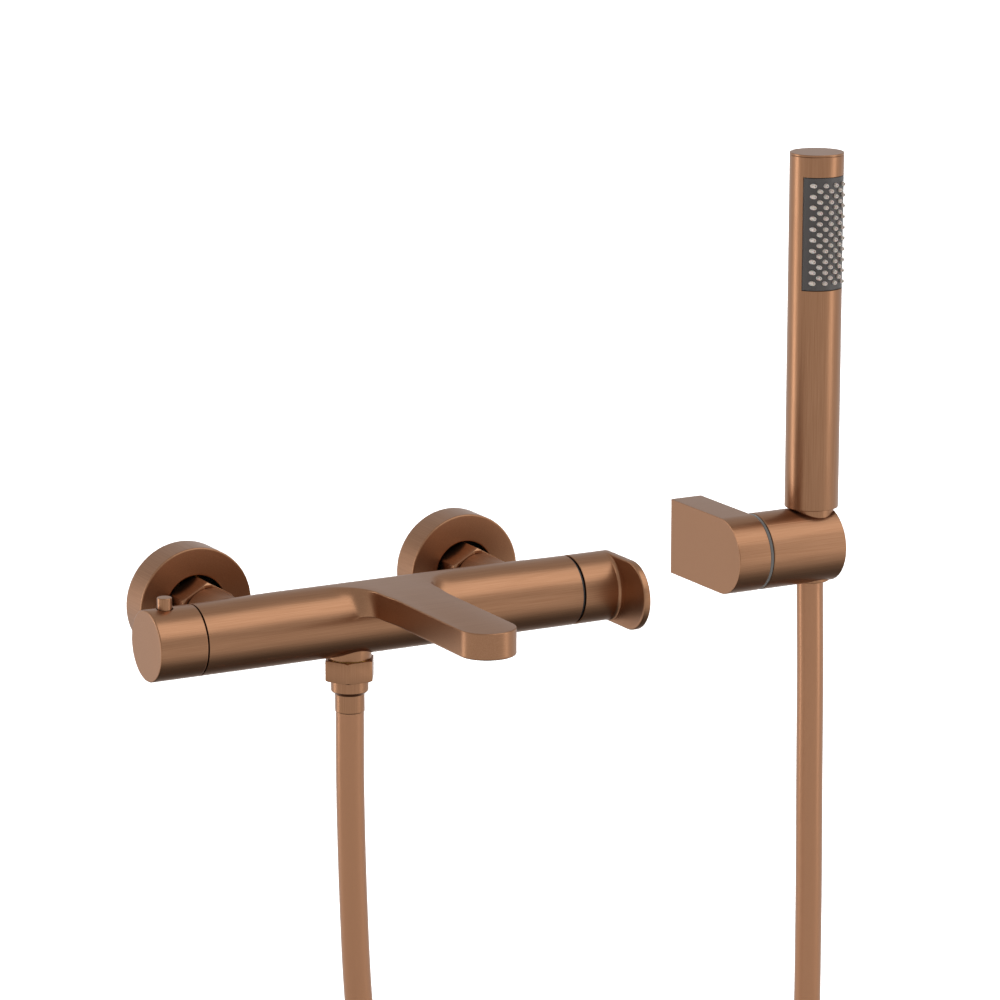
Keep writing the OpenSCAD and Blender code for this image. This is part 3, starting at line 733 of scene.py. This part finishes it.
UNION_BORE, HOSE_BORE = 12 * MM, 8.6 * MM
UNION_LEAN, HOSE_LEAN = 1.3 * MM, 0.8 * MM
for side, _ in INLETS:
    low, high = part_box(f"inlet_nut_{side}")
    nut = hex_nut(f"union_nut_{side}", high[0] - low[0], low[1], high[1], 1, middle_of(low, high), UNION_BORE,
                  UNION_LEAN, copper_y)
    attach(nut, "base")
    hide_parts(f"inlet_nut_{side}")
hose_nut = hex_nut("hose_nut", nut_high[1] - nut_low[1], nut_low[2], nut_high[2], 2, (OUTLET_X, AXIS_Y, 0),
                   HOSE_BORE, HOSE_LEAN, copper_z)
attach(hose_nut, "base")
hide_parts("hose_hex_nut")
print(f"hose nut {(nut_high[1] - nut_low[1]) / MM:.1f} mm across flats")

# %% [markdown]
# ## Sleeve, knob and stop button
# The hose's end is pressed into a stepped sleeve. The temperature knob is a cup with a plain face, and a
# small round button stands out of it in a slightly larger hole, so that a thin dark ring shows round it.

# %% Sleeve
SLEEVE_BORE, FERRULE_R, SHOULDER_R = 5 * MM, 7.3 * MM, 9.25 * MM
sleeve_bottom, sleeve_top = sleeve_low[2], nut_low[2]
ferrule_top = sleeve_bottom + 8.9 * MM
sleeve_profile = [(sleeve_bottom, SLEEVE_BORE), (sleeve_bottom, FERRULE_R), (ferrule_top, FERRULE_R),
                  (ferrule_top + 0.9 * MM, 8.4 * MM), (ferrule_top + 1.6 * MM, SHOULDER_R),
                  (sleeve_top, SHOULDER_R), (sleeve_top, SLEEVE_BORE)]
sleeve = turned("hose_end_sleeve", sleeve_profile, 2, (OUTLET_X, AXIS_Y, 0), copper_z, closed=True,
                radius=0.3 * MM)
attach(sleeve, "base")
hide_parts("hose_sleeve")
print(f"sleeve {(sleeve_top - sleeve_bottom) / MM:.1f} mm long")

# %% Temperature knob and its button
BUTTON_X = (button_low[0] + button_high[0]) / 2
BUTTON_R, BUTTON_GAP, BUTTON_SPIN = 3.6 * MM, 0.55 * MM, 48
KNOB_WALL, KNOB_FACE = 2.5 * MM, 3.5 * MM
knob_profile = [(knob_low[0], 0), (knob_low[0], R), (knob_high[0], R), (knob_high[0], R - KNOB_WALL),
                (knob_low[0] + KNOB_FACE, R - KNOB_WALL), (knob_low[0] + KNOB_FACE, 0)]
knob = turned("knob_shell", knob_profile, 0, (0, AXIS_Y, 0), copper_x, radius=0.8 * MM, spin=FINE_SPIN)
hole = rod(8 * MM, R + 2 * MM, BUTTON_R + BUTTON_GAP)
combine(knob, plain_tool("hole", hole, 2, (BUTTON_X, AXIS_Y, 0), BUTTON_SPIN), "DIFFERENCE")
button_profile = rod(R - 4 * MM, button_high[2], BUTTON_R)
button = turned("stop_button_pin", button_profile, 2, (BUTTON_X, AXIS_Y, 0), copper_z, radius=0.5 * MM,
                spin=BUTTON_SPIN)
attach(knob, "temperature_knob_body")
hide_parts("temperature_knob")
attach(button, "stop_button_body")
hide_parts("stop_button")
print(f"the button stands {(button_high[2] - R) / MM:.1f} mm out of the knob")

# %% [markdown]
# ## The flow handle
# The handle is a short length of the barrel that ends in a paddle: a thin plate with a round nose that
# reaches forward, for one finger to push up or down. Its inner face is slightly dished for the finger.

# %% Flow handle
NOSE_Y = handle_low[1] + R
OUTER_X = handle_high[0]
INNER_X = OUTER_X - 3.7 * MM
COLLAR_BORE, FLARE, FLARE_STEPS = 12 * MM, 1.6 * MM, 8
SINK = 0.01 * MM
# Each level's shift along x and how far its outline is drawn in, in mm: first the dished inner face with
# its rounded edge, then the outer edge.
INNER_LEVELS = ((0.5, 11), (0.32, 6), (0.06, 2), (0, 0.8), (0.12, 0.3), (0.4, 0.08), (0.8, 0))
OUTER_LEVELS = ((0.7, 0), (0.35, 0.08), (0.1, 0.3), (0, 0.7))


def stadium(inset, turns=40):
    """Outline of the paddle in y and z: round at the nose, round at the back."""
    r = R - inset
    angles = [math.pi * i / turns for i in range(turns + 1)]
    nose = [(NOSE_Y - r * math.sin(angle), r * math.cos(angle)) for angle in angles]
    rear = [(AXIS_Y + r * math.sin(angle), -r * math.cos(angle)) for angle in angles]
    return nose + rear


def paddle_mesh():
    """The thin plate of the handle, level by level from its inner face to its outer one."""
    levels = [(INNER_X + shift * MM, inset * MM) for shift, inset in INNER_LEVELS]
    levels += [(OUTER_X - shift * MM, inset * MM) for shift, inset in OUTER_LEVELS]
    return lofted_mesh("paddle", [[(x, y, z) for y, z in stadium(inset)] for x, inset in levels])


def collar_mesh():
    """The handle's short barrel. On its front it flares into the paddle over a hollow curve."""
    start, end = INNER_X - FLARE, INNER_X + 0.9 * MM
    profile = soften([(handle_low[0], COLLAR_BORE), (handle_low[0], R), (start, R)], 0.4 * MM)
    for i in range(1, FLARE_STEPS + 1):
        angle = math.pi / 2 * i / FLARE_STEPS
        profile.append((start + FLARE * math.sin(angle), R + FLARE * (1 - math.cos(angle))))
    profile += [(end, R + FLARE), (end, COLLAR_BORE)]
    mesh = turned_mesh("collar", profile, 0, (0, AXIS_Y, 0), closed=True, spin=FINE_SPIN)
    for vertex in mesh.vertices:
        y, z = vertex.co.y - AXIS_Y, vertex.co.z
        radius = math.hypot(y, z)
        if radius > R:
            front = max(0.0, -y / radius)
            wanted = R - SINK + (radius - R) * smooth(front)
            vertex.co.y, vertex.co.z = AXIS_Y + y * wanted / radius, z * wanted / radius
    return mesh


handle = joined("handle_lever", [collar_mesh(), paddle_mesh()], copper_x)
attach(handle, "flow_handle_body")
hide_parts("flow_handle")
print(f"the paddle reaches {(AXIS_Y - handle_low[1]) / MM:.1f} mm forward of the barrel's axis")

# %% [markdown]
# ## The wall bracket
# The bracket's block is a slab with a round nose. A thin grey ring lets the holder turn against it with a
# steady friction. The holder is a short bar with a tapered hole, open at its far end so the hose can go in.

# %% Bracket block
def slab_outline(inset, turns=48):
    """Outline of the slab in y and z: flat at the wall, round at the nose."""
    r = (block_high[2] - block_low[2]) / 2 - inset
    angles = [math.pi * i / turns for i in range(turns + 1)]
    nose = [(BRACKET_Y - r * math.sin(angle), r * math.cos(angle)) for angle in angles]
    return [(-inset, r)] + nose + [(-inset, -r)]


low_x, high_x = block_low[0], block_high[0]
knee = EDGE * 0.29  # a round of 45 degrees lies this far in from both faces
slab_levels = [(low_x, EDGE), (low_x + knee, knee), (low_x + EDGE, 0), (high_x - EDGE, 0),
               (high_x - knee, knee), (high_x, EDGE)]
slab = lofted_mesh("bracket_slab", [[(x, y, z) for y, z in slab_outline(inset)] for x, inset in slab_levels])
bracket = finish_piece("bracket_slab", slab, copper_x)
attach(bracket, "base")
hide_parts("bracket_block")
print(f"bracket {(high_x - low_x) / MM:.1f} mm thick")

# %% Friction ring and holder
RING_BORE, RING_R, RING_SPIN = 4 * MM, BRACKET_R - 0.15 * MM, 128
BOLT_HOLE_R, WASHER_HOLE_R, WASHER_HOLE_DEPTH = 4.06 * MM, 8 * MM, 9 * MM
TAPER_HALF, TAPER_LOW_R, TAPER_HIGH_R = 22 * MM, 10.0 * MM, 11.88 * MM
SLOT_GAP, SLOT_HEIGHT, PAST = 0.6 * MM, 60 * MM, 2 * MM
ring_low, ring_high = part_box("friction_ring")
ring_profile = [(ring_low[0], RING_BORE), (ring_low[0], RING_R), (ring_high[0], RING_R),
                (ring_high[0], RING_BORE)]
ring = turned("grey_friction_ring", ring_profile, 0, (0, BRACKET_Y, 0), grey_acetal, closed=True,
              radius=0.3 * MM, spin=RING_SPIN)
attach(ring, "base")
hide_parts("friction_ring")

holder = turned("holder_bar", rod(holder_low[0], holder_high[0], BRACKET_R), 0, (0, BRACKET_Y, 0), copper_x,
                radius=0.6 * MM, spin=FINE_SPIN)
taper = [(-TAPER_HALF, 0), (-TAPER_HALF, TAPER_LOW_R), (TAPER_HALF, TAPER_HIGH_R), (TAPER_HALF, 0)]
combine(holder, plain_tool("taper", taper, 2, SHOWER), "DIFFERENCE")
slot_width, slot_depth = 2 * (HOSE_R + SLOT_GAP), holder_high[0] - SHOWER.x + PAST
slot_tool = box_tool("slot", (SHOWER.x + slot_depth / 2, BRACKET_Y, 0), (slot_depth, slot_width, SLOT_HEIGHT))
combine(holder, slot_tool, "DIFFERENCE")
step_x = holder_low[0] + WASHER_HOLE_DEPTH
pocket = [(holder_low[0] - 1 * MM, 0), (holder_low[0] - 1 * MM, BOLT_HOLE_R), (step_x, BOLT_HOLE_R),
          (step_x, WASHER_HOLE_R), (SHOWER.x, WASHER_HOLE_R), (SHOWER.x, 0)]
combine(holder, plain_tool("pocket", pocket, 0, (0, BRACKET_Y, 0), 64), "DIFFERENCE")
shade(holder, 35)
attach(holder, "holder_body")
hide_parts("holder")
print(f"slot for the hose {slot_width / MM:.1f} mm wide")

# %% [markdown]
# ## The hand shower
# A plain tube with a flat cap. Near its top a dark curved plate follows the tube's round, with soft
# silicone nozzles standing out of it in staggered rows. The tube's lower end is a cone that sits in the
# holder; the cone is the hose's nut.

# %% Tube, cap and cone nut
TUBE_BORE = TUBE_R - 1.5 * MM
TUBE_NECK_R, TUBE_FLOOR = 9 * MM, 3 * MM
WINDOW_GAP = 0.6 * MM
CONE_LOW_R, THREAD_R, THREAD_LOW = 10 * MM, 10.6 * MM, 8 * MM
tube_profile = [(tube_low[2], TUBE_NECK_R), (tube_low[2], TUBE_R), (tube_high[2], TUBE_R),
                (tube_high[2], TUBE_BORE), (tube_low[2] + TUBE_FLOOR, TUBE_BORE),
                (tube_low[2] + TUBE_FLOOR, TUBE_NECK_R)]
tube = turned("shower_stick", tube_profile, 2, SHOWER, copper_z, closed=True, radius=0.35 * MM,
              spin=FINE_SPIN)
middle_z = (plate_low[2] + plate_high[2]) / 2
window_size = (plate_high[0] - plate_low[0] + WINDOW_GAP, 2 * TUBE_R,
               plate_high[2] - plate_low[2] + WINDOW_GAP)
combine(tube, box_tool("window", (SHOWER.x, SHOWER.y - TUBE_R, middle_z), window_size), "DIFFERENCE")
shade(tube, 35)
cap_profile = [(cap_low[2], 0), (cap_low[2], TUBE_BORE), (tube_high[2], TUBE_BORE), (tube_high[2], TUBE_R),
               (cap_high[2], TUBE_R), (cap_high[2], 0)]
cap = turned("shower_top_cap", cap_profile, 2, SHOWER, copper_z, radius=0.3 * MM, spin=FINE_SPIN)
hose_bore = HOSE_R + 0.05 * MM
cone_profile = [(cone_low[2], hose_bore), (cone_low[2], CONE_LOW_R),
                (cone_high[2], (cone_high[0] - cone_low[0]) / 2), (cone_high[2], THREAD_R),
                (THREAD_LOW, THREAD_R), (THREAD_LOW, hose_bore)]
cone_nut = turned("hose_cone_nut", cone_profile, 2, SHOWER, copper_z, closed=True, radius=0.4 * MM)
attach(tube, "hand_shower")
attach(cap, "hand_shower")
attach(cone_nut, "hose_end")
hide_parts("shower_tube")
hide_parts("shower_cap")
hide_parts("cone_nut")
print(f"hand shower tube {(tube_high[2] - tube_low[2]) / MM:.1f} mm long, {2 * TUBE_R / MM:.1f} mm round")

# %% [markdown]
# ## Spray plate
# The plate is bent to the tube's round, a little below its surface, with a thin gap all round it. It is
# built as an arc with thickness and small rounds at its edges.

# %% Spray plate
PLATE_R, PLATE_INNER_R = TUBE_R - 0.15 * MM, TUBE_R - 1.6 * MM
PLATE_STEPS, PLATE_EDGE = 48, 0.25 * MM
plate_half = math.asin((plate_high[0] - plate_low[0]) / 2 / PLATE_R)


def plate_mesh():
    """A curved slab that faces -Y: an arc of the tube between two heights."""
    low, high = plate_low[2], plate_high[2]
    corners = [(low, PLATE_INNER_R), (low, PLATE_R), (high, PLATE_R), (high, PLATE_INNER_R)]
    section = soften(corners, PLATE_EDGE, 3, closed=True)
    angles = [-plate_half + 2 * plate_half * i / PLATE_STEPS for i in range(PLATE_STEPS + 1)]
    return lofted_mesh("spray_face", [[(SHOWER.x + r * math.sin(angle), SHOWER.y - r * math.cos(angle), z)
                                       for z, r in section] for angle in angles])


spray_plate = finish_piece("spray_face", plate_mesh(), dark_abs)
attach(spray_plate, "hand_shower")
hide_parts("spray_plate")
print(f"spray plate {math.degrees(2 * plate_half):.0f} degrees round")

# %% [markdown]
# ## Nozzles by Geometry Nodes
# Sixty-seven soft nozzles stand in seven staggered columns. They all point straight forward, so those at
# the sides leave the round plate at a slant. One nozzle is turned, with a small water hole in its end, and
# a node tree puts a copy on every point of a pattern and stretches it to the length that its place needs.

# %% Nozzle pattern
COLUMNS, ROWS = 7, 10
COLUMN_MM, ROW_MM = 2.9, 5.6
ROOT_R, TIP_R = TUBE_R - 1.2 * MM, TUBE_R + 1.45 * MM
# A nozzle from its root to its tip, one unit long until it is stretched.
NOZZLE_PROFILE = [(0, 0), (0, 1.3 * MM), (-0.75, 1.08 * MM), (-1, 0.9 * MM), (-1, 0.38 * MM),
                  (-0.7, 0.3 * MM), (-0.7, 0)]
pattern = bpy.data.meshes.new("nozzle_pattern")
points, lengths = [], []
for column in range(COLUMNS):
    offset = COLUMN_MM * MM * (column - COLUMNS // 2)
    count = ROWS - column % 2
    root = math.sqrt(ROOT_R ** 2 - offset ** 2)
    tip = math.sqrt(TIP_R ** 2 - offset ** 2)
    for row in range(count):
        height = middle_z + ROW_MM * MM * (row - (count - 1) / 2)
        points.append((SHOWER.x + offset, SHOWER.y - root, height))
        lengths.append(tip - root)
pattern.from_pydata(points, [], [])
stretch = pattern.attributes.new("stretch", "FLOAT", "POINT")
stretch.data.foreach_set("value", lengths)
nozzles = add_object("silicone_nozzles", pattern)
one = plain_tool("one_nozzle", soften(NOZZLE_PROFILE, 0.08 * MM, 1), 1, (0, 0, 0), 14)
print(len(points), "nozzles")

# %% Nozzle tree
def node_group(name, inputs):
    """A new tree that takes a geometry and the given inputs, and gives a geometry."""
    group = bpy.data.node_groups.new(name, "GeometryNodeTree")
    group.interface.new_socket("Geometry", in_out="INPUT", socket_type="NodeSocketGeometry")
    for label, kind in inputs:
        group.interface.new_socket(label, in_out="INPUT", socket_type=kind)
    group.interface.new_socket("Geometry", in_out="OUTPUT", socket_type="NodeSocketGeometry")
    return group


def grow(piece, group, values):
    """Runs the tree on the piece, with its inputs set by identifier, and keeps the plain mesh."""
    modifier = piece.modifiers.new(group.name, "NODES")
    modifier.node_group = group
    names = {item.name: item.identifier for item in group.interface.items_tree if item.in_out == "INPUT"}
    for label, value in values.items():
        modifier[names[label]] = value
    return bake(piece)


copies = node_group("copies on points", [("Model", "NodeSocketObject"), ("Material", "NodeSocketMaterial"),
                                         ("Width", "NodeSocketFloat")])
nodes, links = copies.nodes, copies.links
given, result = nodes.new("NodeGroupInput"), nodes.new("NodeGroupOutput")
model = nodes.new("GeometryNodeObjectInfo")
length_of = nodes.new("GeometryNodeInputNamedAttribute")
length_of.data_type = "FLOAT"
length_of.inputs["Name"].default_value = "stretch"
size = nodes.new("ShaderNodeCombineXYZ")
place = nodes.new("GeometryNodeInstanceOnPoints")
real = nodes.new("GeometryNodeRealizeInstances")
paint = nodes.new("GeometryNodeSetMaterial")
links.new(given.outputs["Model"], model.inputs["Object"])
links.new(given.outputs["Width"], size.inputs["X"])
links.new(length_of.outputs["Attribute"], size.inputs["Y"])
links.new(given.outputs["Width"], size.inputs["Z"])
links.new(given.outputs["Geometry"], place.inputs["Points"])
links.new(model.outputs["Geometry"], place.inputs["Instance"])
links.new(size.outputs["Vector"], place.inputs["Scale"])
links.new(place.outputs["Instances"], real.inputs["Geometry"])
links.new(real.outputs["Geometry"], paint.inputs["Geometry"])
links.new(given.outputs["Material"], paint.inputs["Material"])
links.new(paint.outputs["Geometry"], result.inputs["Geometry"])
grow(nozzles, copies, {"Model": one, "Material": silicone, "Width": 1.0})
bpy.data.objects.remove(one)
shade(nozzles, 35)
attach(nozzles, "hand_shower")
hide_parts("spray_nozzles")
print("nozzles:", len(nozzles.data.polygons), "faces")

# %% [markdown]
# ## Materials on the hidden parts
# The parts that stay as CAD nodes sit inside or behind: unions, cartridges, seals and screws. Each takes
# the finish that the real one has.

# %% Finishes of the CAD nodes
FINISHES = {"brushed_copper": copper_x, "copper_hose": hose_sheath, "brass": brass, "stainless_steel": steel,
            "black_rubber": rubber, "black_plastic": black_abs, "white_plastic": white_acetal,
            "ceramic": ceramic, "grey_plastic": grey_acetal, "dark_plastic": dark_abs, "silicone": silicone}
slot_of = {part["node"]: part["material_slot"] for part in frame["record"]["subparts"]}
for name, node in frame["nodes"].items():
    node.data.materials.clear()
    node.data.materials.append(FINISHES[slot_of[name]])
print(len(frame["nodes"]), "CAD nodes have a finish")

# %% [markdown]
# ## Floor and light
# A pale floor lies well below the hanging hose and runs far back, so it fills the picture behind the set
# too. A brushed cylinder shows its shape by bright and dark bands, which are the lamps and the dim room
# mirrored in it. So the room is dark below and dim above, with one big soft box over the front, one behind
# on the left and a weaker one on the right. The floor has its own wide lamp, and neither of these two is
# mirrored in the metal, as a white cove far away would not be.

# %% Floor
floor_mesh = bpy.data.meshes.new("floor")
FLOOR_Z, FLOOR_SIZE = hose_low[2] - 0.02, 14.0
corners = [(FLOOR_SIZE * x, FLOOR_SIZE * y, FLOOR_Z) for x, y in ((-1, -1), (1, -1), (1, 1), (-1, 1))]
floor_mesh.from_pydata(corners, [], [(0, 1, 2, 3)])
floor = add_object("floor", floor_mesh)
# Matt paint: an even pale ground with no mirror image.
floor_paint, _ = new_material("pale_floor", "#FAFAFA", 0.0, 0.9)
floor_mesh.materials.append(floor_paint)
print(f"floor {FLOOR_Z:.3f} m high")


# %% Lights
def soft_box(name, place, aim, width, height, power):
    """A rectangular lamp at a place, turned to an aim. Sizes are in metres, power in watts."""
    lamp = bpy.data.lights.new(name, "AREA")
    lamp.shape = "RECTANGLE"
    lamp.size, lamp.size_y, lamp.energy = width, height, power
    obj = add_object(name, lamp)
    obj.location = place
    obj.rotation_euler = (Vector(aim) - Vector(place)).to_track_quat("-Z", "Y").to_euler()
    return obj


soft_box("key", (0.7, -1.0, 1.5), (0.05, -0.07, 0.0), 2.0, 1.5, 11)
soft_box("left", (-1.7, 1.3, 0.1), (0.1, -0.05, 0.0), 0.6, 1.6, 8)
soft_box("right", (1.7, -1.5, 0.2), (0.1, -0.05, 0.0), 0.7, 1.6, 5)
floor_lamp = soft_box("floor", (0.0, 9.0, 7.0), (0.0, 6.0, FLOOR_Z), 16.0, 10.0, 2600)
for shown in (floor, floor_lamp):
    shown.visible_glossy = False

# The room from straight below (0) to straight above (1), as places with their brightness.
ROOM = ((0.06, 0.09), (0.14, 0.30), (0.24, 0.80), (0.42, 0.86), (0.62, 0.60), (1.0, 0.58))
world = bpy.data.worlds.new("studio")
bpy.context.scene.world = world
world.use_nodes = True
room = world.node_tree
direction = room.nodes.new("ShaderNodeTexCoord")
split = room.nodes.new("ShaderNodeSeparateXYZ")
height = room.nodes.new("ShaderNodeMapRange")
height.inputs["From Min"].default_value = -1.0
bands = room.nodes.new("ShaderNodeValToRGB")
ramp = bands.color_ramp.elements
for stop, (place, light) in ((ramp[0], ROOM[0]), (ramp[1], ROOM[-1])):
    stop.position, stop.color = place, (light, light, light, 1)
for place, light in ROOM[1:-1]:
    ramp.new(place).color = (light, light, light, 1)
room.links.new(direction.outputs["Generated"], split.inputs["Vector"])
room.links.new(split.outputs["Z"], height.inputs["Value"])
room.links.new(height.outputs["Result"], bands.inputs["Fac"])
room.links.new(bands.outputs["Color"], room.nodes["Background"].inputs["Color"])
bpy.context.scene.view_settings.view_transform = "Standard"
print("lamps:", ", ".join(lamp.name for lamp in bpy.data.lights))
